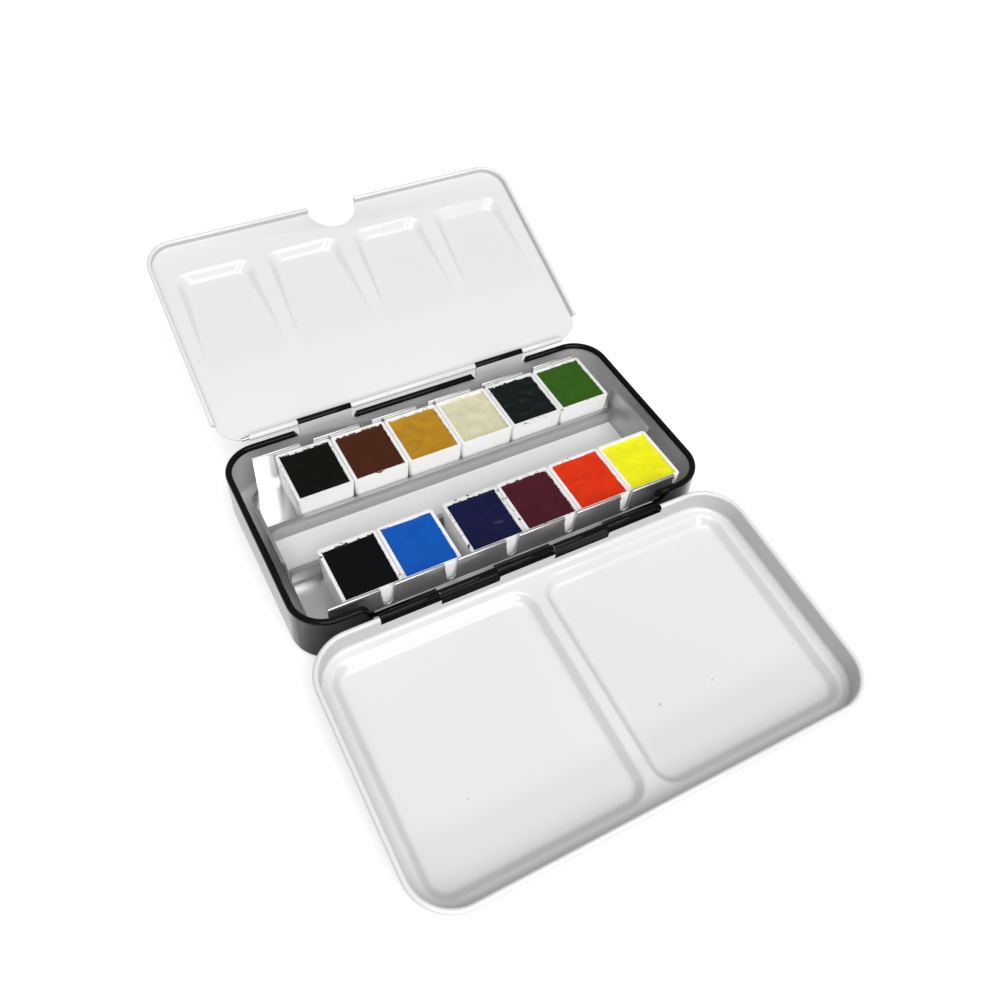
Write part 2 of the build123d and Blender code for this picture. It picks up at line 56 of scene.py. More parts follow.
for body, members in frame["record"]["behaviour"]["bodies"].items():
    for member in members:
        body_of[member] = body
MM = 0.001

# %% [markdown]
# ## The camera
# The photograph looks down at the set from the front left. The camera was found from the lines
# of the box, the lid and the leaf, so it only needs its place, its turn and its lens.

# %% Place the camera
camera_data = bpy.data.cameras.new("camera")
camera_data.lens = 35.13
camera_data.sensor_width = 36.0
camera = bpy.data.objects.new("camera", camera_data)
camera.location = (-0.0864, -0.1612, 0.2142)
camera.rotation_euler = [math.radians(a) for a in (40.683, -2.842, -28.159)]
bpy.context.scene.collection.objects.link(camera)
bpy.context.scene.camera = camera
bpy.context.scene.view_settings.view_transform = "Standard"
print("camera at", tuple(camera.location))

# %% [markdown]
# ## Node helpers
# A procedural finish is a small tree of nodes. These helpers add a node, set its sockets by
# name and join two sockets, so each finish below reads as a short list of what it is made of.

# %% Helpers for materials


def start_material(name):
    """A material with its Principled shader, and the tree both live in."""
    material = bpy.data.materials.new(name)
    material.use_nodes = True
    tree = material.node_tree
    return material, tree, tree.nodes["Principled BSDF"]


def node(tree, kind, **values):
    """Adds a node and sets its sockets, or its own settings, by name."""
    made = tree.nodes.new(kind)
    for name, value in values.items():
        socket = made.inputs.get(name.replace("_", " "))
        if socket is not None:
            socket.default_value = value
        else:
            setattr(made, name, value)
    return made


def join(tree, source, target):
    """Joins an output socket to an input socket."""
    tree.links.new(source, target)


def object_noise(tree, scale, detail=3.0, stretch=(1, 1, 1)):
    """Noise that stays on the object, in metres, stretched along an axis if asked."""
    place = node(tree, "ShaderNodeTexCoord")
    turn = node(tree, "ShaderNodeMapping")
    turn.inputs["Scale"].default_value = stretch
    cloud = node(tree, "ShaderNodeTexNoise", Scale=scale, Detail=detail)
    join(tree, place.outputs["Object"], turn.inputs["Vector"])
    join(tree, turn.outputs["Vector"], cloud.inputs["Vector"])
    return cloud


def bump_from(tree, shader, height, strength, distance):
    """Lets a height output roughen the surface, by a strength and a depth in metres."""
    bump = node(tree, "ShaderNodeBump", Strength=strength, Distance=distance)
    join(tree, height, bump.inputs["Height"])
    join(tree, bump.outputs["Normal"], shader.inputs["Normal"])


print("helpers ready")

# %% [markdown]
# ## Enamel
# Stoved enamel is smooth and glossy, and very slightly wavy, like the skin of an orange seen
# from far away. A soft noise drives the waves and a finer one breaks up the gloss. Dust specks
# are a very fine noise, cut off so high that only a few of its peaks are left.
#
# The white has one trick to know about. Its colour gets darker as a wall gets steeper, down to
# wall_tone times the flat colour. No dirt was seen on the real walls: this is shade painted into
# the colour, to come nearer the photograph than the lamps alone did. It stays on the piece under
# any light, and a wall_tone of 1 takes it away.

# %% White and black enamel
speck_edge = 0.02
speck_scale = 800
speck_cut = 0.815
orange_peel_scale = 160
orange_peel_depth = 0.3 * MM
gloss_scale = 900
white_color = (0.765, 0.765, 0.765)
white_speck = (0.42, 0.42, 0.41)
black_color = (0.004, 0.004, 0.0045)
black_speck = (0.03, 0.03, 0.03)
# A Mix node has its colours at these places, after its plain numbers and its vectors.
mix_inputs = (6, 7)
mix_output = 2


def spread_roughness(tree, shader, source, roughness, low=0.8, high=1.25):
    """Lets the roughness wander a little round its value, driven by a noise."""
    spread = node(tree, "ShaderNodeMapRange")
    spread.inputs["To Min"].default_value = roughness * low
    spread.inputs["To Max"].default_value = roughness * high
    join(tree, source.outputs["Fac"], spread.inputs["Value"])
    join(tree, spread.outputs["Result"], shader.inputs["Roughness"])


def speckle(tree, scale, threshold):
    """A mask that is 0 nearly everywhere and 1 in a few tiny specks."""
    fine = object_noise(tree, scale, detail=1.0)
    cut = node(tree, "ShaderNodeMapRange")
    cut.inputs["From Min"].default_value = threshold
    cut.inputs["From Max"].default_value = threshold + speck_edge
    join(tree, fine.outputs["Fac"], cut.inputs["Value"])
    return cut.outputs["Result"]


def mix_color(tree, factor, first, second):
    """Mixes two colours, or an output and a colour, by a factor."""
    mixed = node(tree, "ShaderNodeMix", data_type="RGBA")
    for number, value in zip(mix_inputs, (first, second)):
        socket = mixed.inputs[number]
        if isinstance(value, tuple):
            socket.default_value = (*value, 1)
        else:
            join(tree, value, socket)
    join(tree, factor, mixed.inputs["Factor"])
    return mixed.outputs[mix_output]


def enamel(name, color, speck_color, gloss, roughness, wave):
    """Glossy enamel with a few dust specks and the faintest orange peel."""
    material, tree, shader = start_material(name)
    specks = speckle(tree, speck_scale, speck_cut)
    join(tree, mix_color(tree, specks, color, speck_color), shader.inputs["Base Color"])
    shader.inputs["Specular IOR Level"].default_value = gloss
    waves = object_noise(tree, orange_peel_scale, detail=2.0)
    bump_from(tree, shader, waves.outputs["Fac"], wave, orange_peel_depth)
    spread_roughness(tree, shader, object_noise(tree, gloss_scale, detail=4.0), roughness)
    return material


def white_enamel(name, up, wall_tone, steep_from, steep_to):
    """White enamel with painted shade, darker on steep walls; up is square to the piece's floor."""
    material = enamel(name, white_color, white_speck, gloss=0.55, roughness=0.035, wave=0.04)
    tree = material.node_tree
    shader = tree.nodes["Principled BSDF"]
    specked = shader.inputs["Base Color"].links[0].from_socket
    place = node(tree, "ShaderNodeTexCoord")
    facing = node(tree, "ShaderNodeVectorMath", operation="DOT_PRODUCT")
    join(tree, place.outputs["Normal"], facing.inputs[0])
    facing.inputs[1].default_value = up
    either_side = node(tree, "ShaderNodeMath", operation="ABSOLUTE")
    join(tree, facing.outputs["Value"], either_side.inputs[0])
    flat = node(tree, "ShaderNodeMapRange")
    flat.inputs["From Min"].default_value = steep_from
    flat.inputs["From Max"].default_value = steep_to
    join(tree, either_side.outputs["Value"], flat.inputs["Value"])
    # The colour of a steep wall: painted shade.
    shaded = tuple(c * wall_tone for c in white_color)
    join(tree, mix_color(tree, flat.outputs["Result"], shaded, specked), shader.inputs["Base Color"])
    return material


box_white = white_enamel("box_white", (0, 0, 1), wall_tone=0.78, steep_from=0.1, steep_to=0.8)
black_enamel = enamel("black_enamel", black_color, black_speck, gloss=0.12, roughness=0.06, wave=0.04)
print("enamel:", box_white.name, black_enamel.name)

# %% [markdown]
# ## Bright tinplate and wire
# The rack is bent from tinned sheet, which gets faint lines along it. A noise stretched along
# the sheet gives those lines, and drives both gloss and bump. The tabs and rails get a second
# tin, duller and darker: its darker colour is painted shade. The wire is duller than the sheet
# too, with faint marks across it.

# %% Tinplate and wire
blotch_scale = 120
blotch_tint = 0.93
grain_scale = 700
grain_height = 0.1 * MM
along_sheet = (0.1, 1, 1)
across_wire = (3, 0.5, 0.5)


def bright_metal(name, color, roughness, stretch, grain_strength):
    """Bare metal with faint blotches and a grain of lines."""
    material, tree, shader = start_material(name)
    shader.inputs["Metallic"].default_value = 1.0
    blotch = object_noise(tree, blotch_scale, detail=3.0)
    tint = tuple(c * blotch_tint for c in color)
    join(tree, mix_color(tree, blotch.outputs["Fac"], tint, color), shader.inputs["Base Color"])
    grain = object_noise(tree, grain_scale, detail=4.0, stretch=stretch)
    spread_roughness(tree, shader, grain, roughness, low=0.75, high=1.3)
    bump_from(tree, shader, grain.outputs["Fac"], grain_strength, grain_height)
    return material


tinplate = bright_metal("tinplate", (0.80, 0.80, 0.79), 0.24, along_sheet, grain_strength=0.01)
# A duller, darker copy of the tin; its darker colour is painted shade.
shaded_tin = bright_metal("shaded_tin", (0.55, 0.55, 0.55), 0.38, along_sheet, grain_strength=0.03)
wire_steel = bright_metal("wire_steel", (0.62, 0.61, 0.59), 0.28, across_wire, grain_strength=0.9)
print("metal:", tinplate.name, shaded_tin.name, wire_steel.name)

# %% [markdown]
# ## Shapes taken from the CAD
# The box, lid, rack, wires and all but the middle of the leaf are the CAD's own shapes. Their
# meshes are loose triangles with knife-sharp edges, so each is copied, merged, cleaned of flat
# seams, and its edges are eased by a tenth of a millimetre or so. Real sheet metal catches a
# thin line of light on such edges.

# %% Take a CAD shape and ease its edges
merge_distance = 0.002 * MM
flat_seam = math.radians(0.5)


def only(piece):
    """Selects one piece alone and makes it active."""
    bpy.ops.object.select_all(action="DESELECT")
    piece.select_set(True)
    bpy.context.view_layer.objects.active = piece


def finish_piece(piece, nodes_replaced):
    """Rides on the body of the nodes it stands for, and hides them."""
    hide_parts(*nodes_replaced)
    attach(piece, body_of[nodes_replaced[0]])


def merged_copy(name):
    """A copy of a CAD node with its points merged, and without its finish or flat seams."""
    piece = bpy.data.objects.new(f"{name}_piece", nodes[name].data.copy())
    bpy.context.scene.collection.objects.link(piece)
    piece.data.materials.clear()
    only(piece)
    bpy.ops.object.mode_set(mode="EDIT")
    bpy.ops.mesh.select_all(action="SELECT")
    bpy.ops.mesh.customdata_custom_splitnormals_clear()
    bpy.ops.mesh.remove_doubles(threshold=merge_distance)
    bpy.ops.mesh.dissolve_limited(angle_limit=flat_seam)
    bpy.ops.object.mode_set(mode="OBJECT")
    return piece


def ease_edges(piece, radius, steps=2, sharper_than=35, smooth_below=32):
    """Rounds each edge that is sharper than an angle in degrees, and smooths the rest."""
    only(piece)
    bevel = piece.modifiers.new("eased", "BEVEL")
    bevel.width = radius
    bevel.segments = steps
    bevel.limit_method = "ANGLE"
    bevel.angle_limit = math.radians(sharper_than)
    bpy.ops.object.modifier_apply(modifier=bevel.name)
    bpy.ops.object.shade_smooth_by_angle(angle=math.radians(smooth_below))


print("merge distance:", merge_distance / MM, "mm")

# %% [markdown]
# ## Two tones of enamel
# The box and the lid are white inside and black outside, on one thin sheet. A point held inside
# the hollow tells the two apart: a face that looks back at it is inside. Beads and knuckles
# curl round and fool that test, so each piece adds its own rule for them.

# %% Paint a shape in two tones


def two_tone(piece, white_finish, inside_from, always_black, always_white):
    """White where a face looks back at a point inside, black elsewhere."""
    piece.data.materials.append(black_enamel)
    piece.data.materials.append(white_finish)
    for face in piece.data.polygons:
        looks_in = face.normal.dot(face.center - inside_from) < 0
        white = (looks_in or always_white(face)) and not always_black(face)
        face.material_index = 1 if white else 0
    print(piece.name, "faces:", len(piece.data.polygons))


# %% [markdown]
# ## The box
# The box is black outside and over its bead, and white inside. The two plates that rise to
# the leaf's hinge are white on the side that faces the pans, and only their barrels are black.
# The flange that runs out to the lid's hinge gets the duller, darker tin: painted shade there.

# %% Box
base_low, base_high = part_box("base_box")
bead_underside = 14.72 * MM
back_plate_face = 32.13 * MM
plate_span = (19.5 * MM, 36.5 * MM)
flange_start = -31.5 * MM
flange_end = -33.6 * MM
flange_low = 12.6 * MM
flange_half = 42.5 * MM
back_plate_start = 31 * MM
faces_pans = -0.5
box_eye = Vector((0, 0, 60 * MM))
flange_slot = 2


def box_black(face):
    at = face.center
    inner_plate = back_plate_start < at.y < back_plate_face and face.normal.y < faces_pans
    return at.z > bead_underside and not (inner_plate and plate_span[0] < abs(at.x) < plate_span[1])


def on_flange(face):
    at = face.center
    under_bead = flange_low < at.z < bead_underside
    return under_bead and flange_end < at.y < flange_start and abs(at.x) < flange_half


box_piece = merged_copy("base_box")
ease_edges(box_piece, radius=0.08 * MM)
two_tone(box_piece, box_white, box_eye, box_black, lambda face: False)
# The flange takes the darker tin: painted shade.
box_piece.data.materials.append(shaded_tin)
for face in box_piece.data.polygons:
    if on_flange(face):
        face.material_index = flange_slot
finish_piece(box_piece, ["base_box"])
print("box:", [round(side / MM, 1) for side in base_high - base_low], "mm")

# %% [markdown]
# ## The lid
# The lid lies on its back on the table, so its white inside looks up. Its bead is white too,
# and the knuckles that curl round the wire are black like the outside.

# %% Lid
lid_joint = next(j for j in frame["joints"] if j["name"] == "lid_hinge")
lid_axis = Vector(lid_joint["pos_m"])
lid_turn = math.radians(185.77)
lid_w = Vector((0, -math.sin(lid_turn), math.cos(lid_turn)))
lid_v = Vector((0, math.cos(lid_turn), math.sin(lid_turn)))
lid_middle = 35.4 * MM
eye_height = 50 * MM
lid_eye = lid_axis + lid_v * lid_middle - lid_w * eye_height
lid_rim_start = 1.76 * MM
hinge_half = 41.1 * MM
bead_top = -0.3 * MM


def lid_black(face):
    return (face.center - lid_axis).dot(lid_v) < lid_rim_start and abs(face.center.x) < hinge_half


def lid_white(face):
    return (face.center - lid_axis).dot(lid_w) < bead_top


lid_piece = merged_copy("lid")
ease_edges(lid_piece, radius=0.1 * MM)
lid_inside = white_enamel("lid_white", -lid_w, wall_tone=0.68, steep_from=0.2, steep_to=0.9)
two_tone(lid_piece, lid_inside, lid_eye, lid_black, lid_white)
finish_piece(lid_piece, ["lid"])

# %% [markdown]
# ## The palette leaf
# The leaf's four wells are pressed with soft edges that the CAD draws sharp. Its frame, lip and
# knuckles are kept, the middle is cut out, and a fine grid takes its place. Each well is a
# height worked out from how far a point is from the well's edge: the lesser of the ramp and the
# slope up to that edge, blended where they meet.

# %% Leaf
leaf_joint = next(j for j in frame["joints"] if j["name"] == "leaf_hinge")
leaf_axis = Vector(leaf_joint["pos_m"])
leaf_tilt = math.radians(22.3)
leaf_turned = Matrix.Translation(leaf_axis) @ Matrix.Rotation(leaf_tilt, 4, "X")
leaf_sheet = 0.4 * MM
leaf_top = -0.55 * MM
panel_half = 55.0 * MM
panel_near = 22.0 * MM
panel_far = 56.5 * MM
well_pitch = 27.4 * MM
well_near = 24.0 * MM
well_far = 54.2 * MM
well_near_half = 11.4 * MM
well_far_half = 10.7 * MM
well_depth = 2.5 * MM
slope_rise = 1.0
well_spread = 0.45 * MM
corner_round = 3.4 * MM
floor_round = 0.35 * MM
rim_round = 0.25 * MM
grid_across = 300
grid_along = 96
cut_tolerance = 1e-6


def soft_least(a, b, width):
    """The lesser of two heights, rounded over a width where they are close."""
    close = max(width - abs(a - b), 0) / width
    return min(a, b) - close * close * width / 4


def well_drop(u, v):
    """How far the leaf is pressed down at a point, u along the hinge and v away from it."""
    along = (v - well_near) / (well_far - well_near)
    from_middle = abs((u + 2 * well_pitch) % well_pitch - well_pitch / 2)
    side = well_near_half + (well_far_half - well_near_half) * along - from_middle
    from_edge = soft_least(side, well_far - v, corner_round) + well_spread
    drop = soft_least(well_depth * along, from_edge * slope_rise, floor_round)
    return -soft_least(-drop, 0, rim_round)


leaf_piece = merged_copy("leaf")
bpy.ops.object.mode_set(mode="EDIT")
leaf_side = leaf_turned.to_3x3()
for point, normal in (
    (Vector((panel_half, 0, 0)), Vector((1, 0, 0))),
    (Vector((-panel_half, 0, 0)), Vector((1, 0, 0))),
    (Vector((0, panel_near, 0)), Vector((0, 1, 0))),
    (Vector((0, panel_far, 0)), Vector((0, 1, 0))),
):
    bpy.ops.mesh.select_all(action="SELECT")
    cut_at = leaf_turned @ point
    cut_square_to = leaf_side @ normal
    bpy.ops.mesh.bisect(plane_co=cut_at, plane_no=cut_square_to, threshold=cut_tolerance)
bpy.ops.mesh.select_all(action="DESELECT")
bpy.ops.object.mode_set(mode="OBJECT")
flat_leaf = leaf_turned.inverted()
for face in leaf_piece.data.polygons:
    place = flat_leaf @ face.center
    face.select = abs(place.x) < panel_half and panel_near < place.y < panel_far
bpy.ops.object.mode_set(mode="EDIT")
bpy.ops.mesh.select_mode(type="FACE")
bpy.ops.mesh.delete(type="FACE")
bpy.ops.object.mode_set(mode="OBJECT")
ease_edges(leaf_piece, radius=0.08 * MM)

bpy.ops.object.select_all(action="DESELECT")
bpy.ops.mesh.primitive_grid_add(x_subdivisions=grid_across, y_subdivisions=grid_along, size=1)
panel = bpy.context.object
for vertex in panel.data.vertices:
    u = vertex.co.x * 2 * panel_half
    v = panel_near + (vertex.co.y + 0.5) * (panel_far - panel_near)
    vertex.co = leaf_turned @ Vector((u, v, leaf_top - well_drop(u, v)))
wall = panel.modifiers.new("sheet", "SOLIDIFY")
wall.thickness = leaf_sheet
wall.offset = -1
wall.use_rim = False
bpy.ops.object.modifier_apply(modifier=wall.name)
bpy.ops.object.shade_smooth()
leaf_piece.select_set(True)
bpy.context.view_layer.objects.active = leaf_piece
bpy.ops.object.join()
leaf_piece.data.materials.clear()
leaf_up = leaf_side @ Vector((0, 0, 1))
leaf_white = white_enamel("leaf_white", leaf_up, wall_tone=0.68, steep_from=0.0, steep_to=0.55)
leaf_piece.data.materials.append(leaf_white)
finish_piece(leaf_piece, ["leaf"])
print("leaf faces:", len(leaf_piece.data.polygons))

# %% [markdown]
# ## The rack and the wires
# The rack is one folded sheet of tin, and its shape is the CAD's. Most of it is bright. The
# outer faces of the front tabs, the hems and the rails get the duller, darker tin, whose colour
# is painted shade. The floor between the rails looks white. The real rack may be open there,
# with the box's enamel showing, but the CAD's sheet runs across, so here that sheet is coloured
# white.

# %% Rack and wires
rack_piece = merged_copy("rack")
ease_edges(rack_piece, radius=0.1 * MM)
rack_piece.data.materials.append(tinplate)
rack_piece.data.materials.append(shaded_tin)
rack_piece.data.materials.append(box_white)
front_face = -29.3 * MM
hem_bottom = 16.95 * MM
aisle_middle = -2.4 * MM
aisle_half = 8.45 * MM
aisle_floor = 6.3 * MM
looks_out = -0.8
looks_up = 0.8
shaded_slot = 1
white_slot = 2
# Tabs' outer faces, hems and rails take the darker tin: painted shade.
for face in rack_piece.data.polygons:
    at = face.center
    outward = face.normal.y < looks_out and at.y < front_face
    in_aisle = abs(at.y - aisle_middle) < aisle_half
    if in_aisle and face.normal.z > looks_up and at.z < aisle_floor:
        face.material_index = white_slot
    elif outward or at.z > hem_bottom or in_aisle:
        face.material_index = shaded_slot
finish_piece(rack_piece, ["rack"])
for name in ("lid_wire", "leaf_wire"):
    wire = merged_copy(name)
    ease_edges(wire, radius=0.12 * MM)
    wire.data.materials.append(wire_steel)
    finish_piece(wire, [name])
print("rack faces:", len(rack_piece.data.polygons))

# %% [markdown]
# ## Paint colours
# Twelve cakes, the back row first, each with a name, a colour, a stain and a wrinkle. The colour
# is how the dry cake looks, so the strong ones are nearly black. The stain says how much of the
# paint has been dragged onto the pan's rim, and the wrinkle how rough and worn the cake's top is.

# %% Paint list
paints = [
    ("burnt_black", (0.0034, 0.0028, 0.0014), 0.50, 0.30),
    ("russet", (0.070, 0.017, 0.006), 0.15, 0.25),
    ("ochre", (0.500, 0.260, 0.015), 0.12, 0.55),
    ("cream", (0.740, 0.700, 0.480), 0.12, 0.20),
    ("slate", (0.0048, 0.0100, 0.0100), 0.62, 0.95),
    ("leaf_green", (0.034, 0.115, 0.007), 0.35, 0.60),
    ("ink_black", (0.0012, 0.0018, 0.0022), 0.40, 0.35),
    ("azure", (0.004, 0.098, 0.490), 0.20, 0.25),
    ("indigo", (0.006, 0.008, 0.050), 0.80, 0.95),
    ("maroon", (0.072, 0.0095, 0.018), 0.62, 0.60),
    ("scarlet", (0.760, 0.034, 0.004), 0.20, 0.25),
    ("lemon", (1.0, 0.960, 0.014), 0.30, 0.25),
]
print("paints:", [paint[0] for paint in paints])

# %% [markdown]
# ## The half pans
# A half pan is a small open trough of white plastic, a little narrower at its foot. One is
# modelled from a cube: the foot is drawn in, the corners rounded, the top inset and sunk. The
# others are copies. Each copy gets its own stain, which gathers at the rim where a wet brush is
# wiped, so the stain's mask is a noise that only counts near the rim's height.

# %% Model one half pan
pan_low, pan_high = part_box("pan_01")
pan_size = pan_high - pan_low
pan_middle = (pan_low + pan_high) / 2
pan_wall = 0.9 * MM
pan_floor = 1.2 * MM
pan_corner = 0.9 * MM
pan_draft = math.tan(math.radians(2.5))
facing_limit = 0.5
foot_scale = [1 - 2 * pan_size.z * pan_draft / side for side in (pan_size.x, pan_size.y)]


def select_faces(piece, wanted):
    """Back in edit mode with only the wanted faces selected."""
    bpy.ops.object.mode_set(mode="EDIT")
    bpy.ops.mesh.select_mode(type="FACE")
    bpy.ops.mesh.select_all(action="DESELECT")
    bpy.ops.object.mode_set(mode="OBJECT")
    for face in piece.data.polygons:
        face.select = wanted(face)
    bpy.ops.object.mode_set(mode="EDIT")


def select_edges(piece, wanted):
    """Back in edit mode with only the wanted edges selected."""
    bpy.ops.object.mode_set(mode="EDIT")
    bpy.ops.mesh.select_mode(type="EDGE")
    bpy.ops.mesh.select_all(action="DESELECT")
    bpy.ops.object.mode_set(mode="OBJECT")
    for edge in piece.data.edges:
        ends = [piece.data.vertices[v].co for v in edge.vertices]
        edge.select = wanted(*ends)
    bpy.ops.object.mode_set(mode="EDIT")


bpy.ops.object.select_all(action="DESELECT")
bpy.ops.mesh.primitive_cube_add(size=1, location=pan_middle, scale=pan_size)
first_pan = bpy.context.object
bpy.ops.object.transform_apply(location=True, rotation=False, scale=True)
select_faces(first_pan, lambda face: face.normal.z < -facing_limit)
bpy.ops.transform.resize(value=(*foot_scale, 1), center_override=pan_middle)
select_edges(first_pan, lambda a, b: abs(a.z - b.z) > pan_size.z / 2)
bpy.ops.mesh.bevel(offset=pan_corner, segments=4)
select_faces(first_pan, lambda face: face.normal.z > facing_limit)
bpy.ops.mesh.inset(thickness=pan_wall, depth=0)
bpy.ops.mesh.extrude_region_move(TRANSFORM_OT_translate={"value": (0, 0, pan_floor - pan_size.z)})
bpy.ops.transform.resize(value=(*foot_scale, 1), center_override=pan_middle)
bpy.ops.object.mode_set(mode="OBJECT")
ease_edges(first_pan, radius=0.28 * MM, steps=3, sharper_than=50)
print("half pan faces:", len(first_pan.data.polygons))

# %% [markdown]
# ## White plastic and its stains
# The pans are white plastic that lets a little light in. Each pan's colour is mixed with the
# colour of its paint in small patches, and only close to the rim. The patches are a noise with a
# high cut. The more stain a paint has, the lower the cut, and the more of its rim is coloured.

# %% Pan plastic and its stains
rim_band = (1.6 * MM, 0.1 * MM)
patch_scale = 520
patch_cut = (0.72, 0.78)
patch_gain = 0.16
rim_tint = 0.12
stain_tone = 0.9
shift_step = 7
haze_scale = 1500
haze_depth = 0.1 * MM


def pan_plastic(name, stain_color, stain, shift):
    """White plastic with a paint's stains near the rim; shift keeps two pans from matching."""
    material, tree, shader = start_material(name)
    shader.inputs["Subsurface Weight"].default_value = 0.08
    shader.inputs["Subsurface Radius"].default_value = (0.001, 0.001, 0.001)
    place = node(tree, "ShaderNodeTexCoord")
    height = node(tree, "ShaderNodeSeparateXYZ")
    join(tree, place.outputs["Object"], height.inputs["Vector"])
    near_rim = node(tree, "ShaderNodeMapRange")
    near_rim.inputs["From Min"].default_value = pan_high.z - rim_band[0]
    near_rim.inputs["From Max"].default_value = pan_high.z - rim_band[1]
    join(tree, height.outputs["Z"], near_rim.inputs["Value"])
    patches = object_noise(tree, patch_scale + shift, detail=5.0)
    cut = node(tree, "ShaderNodeMapRange")
    cut.inputs["From Min"].default_value = patch_cut[0] - patch_gain * stain
    cut.inputs["From Max"].default_value = patch_cut[1] - patch_gain * stain
    join(tree, patches.outputs["Fac"], cut.inputs["Value"])
    mask = node(tree, "ShaderNodeMath", operation="MULTIPLY")
    join(tree, near_rim.outputs["Result"], mask.inputs[0])
    join(tree, cut.outputs["Result"], mask.inputs[1])
    clean = (0.92, 0.92, 0.91)
    share = rim_tint * stain
    tinted = tuple(c * (1 - share) + s * share for c, s in zip(clean, stain_color))
    base = mix_color(tree, near_rim.outputs["Result"], clean, tinted)
    patch_color = tuple(stain_tone * c for c in stain_color)
    stained = mix_color(tree, mask.outputs["Value"], base, patch_color)
    join(tree, stained, shader.inputs["Base Color"])
    haze = object_noise(tree, haze_scale, detail=3.0)
    spread_roughness(tree, shader, haze, roughness=0.3)
    bump_from(tree, shader, haze.outputs["Fac"], strength=0.05, distance=haze_depth)
    return material


for number, (name, color, stain, _) in enumerate(paints, start=1):
    pan_name = f"pan_{number:02d}"
    pan = first_pan if number == 1 else bpy.data.objects.new("half_pan", first_pan.data.copy())
    pan.name = f"half_{pan_name}"
    if number > 1:
        bpy.context.scene.collection.objects.link(pan)
        pan.data.transform(Matrix.Translation(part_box(pan_name)[0] - pan_low))
        pan.data.materials.clear()
    pan.data.materials.append(pan_plastic(f"pan_{name}", color, stain, shift_step * number))
    finish_piece(pan, [pan_name])
print("half pans:", number)

# %% [markdown]
# ## The cakes of paint
# Paint is poured wet and shrinks as it dries, so a cake is low in the middle, creeps up the
# pan's walls, and wrinkles. Used ones show soft grooves left by the brush. Each cake starts as a
# block, its top is divided finely, and two noise displacements and a few grooves are pressed
# into it. A third noise picks out where the edge has run out onto the pan's rim. All the grooves
# come from one run of random numbers, so no two cakes are alike.

# %% Noise, grooves and round corners for the cakes
groove_random = random.Random(7)
groove_count = 7
groove_spread = 0.3
groove_width = (0.5, 1.5)
groove_depth = (0.3, 1.0)
groove_deepest = 0.5 * MM
groove_fade = 0.28
cake_corner = 0.8 * MM


def cake_texture(name, size, depth):
    """A cloud noise for a Displace modifier, with lumps of a given size."""
    texture = bpy.data.textures.new(name, "CLOUDS")
    texture.noise_scale = size
    texture.noise_depth = depth
    return texture


def draw_grooves(size, wrinkle):
    """Brush grooves at random, each with a place, a direction, a width and a depth."""
    return [
        (
            groove_random.uniform(-groove_spread, groove_spread) * size.x,
            groove_random.uniform(-groove_spread, groove_spread) * size.y,
            groove_random.uniform(0, math.pi),
            groove_random.uniform(*groove_width) * MM,
            groove_random.uniform(*groove_depth) * groove_deepest * wrinkle,
        )
        for _ in range(groove_count)
    ]


def groove_lift(grooves, dx, dy, size):
    """How far the grooves, and the ridges beside them, raise a point of the top."""
    lift = 0
    for across, along, turn, width, depth in grooves:
        offset = (dx - across) * math.sin(turn) - (dy - along) * math.cos(turn)
        reach = (dx - across) * math.cos(turn) + (dy - along) * math.sin(turn)
        fade = math.exp(-((reach / (groove_fade * size.x)) ** 2))
        ridge = math.exp(-(((offset - width) / width) ** 2))
        furrow = math.exp(-((offset / width) ** 2))
        lift += depth * fade * (ridge - furrow)
    return lift


def round_corner(vertex, dx, dy, size):
    """Draws a point in a square corner in to a round one."""
    into_x = abs(dx) - size.x / 2 + cake_corner
    into_y = abs(dy) - size.y / 2 + cake_corner
    if into_x > 0 and into_y > 0:
        pull = max(into_x, into_y) / math.hypot(into_x, into_y)
        vertex.co.x -= math.copysign(into_x * (1 - pull), dx)
        vertex.co.y -= math.copysign(into_y * (1 - pull), dy)


broad_noise = cake_texture("cake_broad", 5.0 * MM, 1)
wrinkle_noise = cake_texture("cake_wrinkle", 1.6 * MM, 3)
print("cake noises:", broad_noise.name, wrinkle_noise.name)

# %% Shape a cake
cake_cuts = 54
cake_foot = 0.94
top_band = 0.01 * MM
edge_band = 0.02 * MM
creep_width = 1.0 * MM
creep_height = 0.25 * MM
cake_sink = 0.1 * MM
ragged_scale = 700
ragged_cut = 0.05
spill_least = 0.35
spill_limit = 0.75 * MM
spill_gain = 1.6 * MM
spill_height = 0.03 * MM
broad_height = 0.4 * MM
wrinkle_height = 0.4 * MM
cake_smooth = math.radians(60)


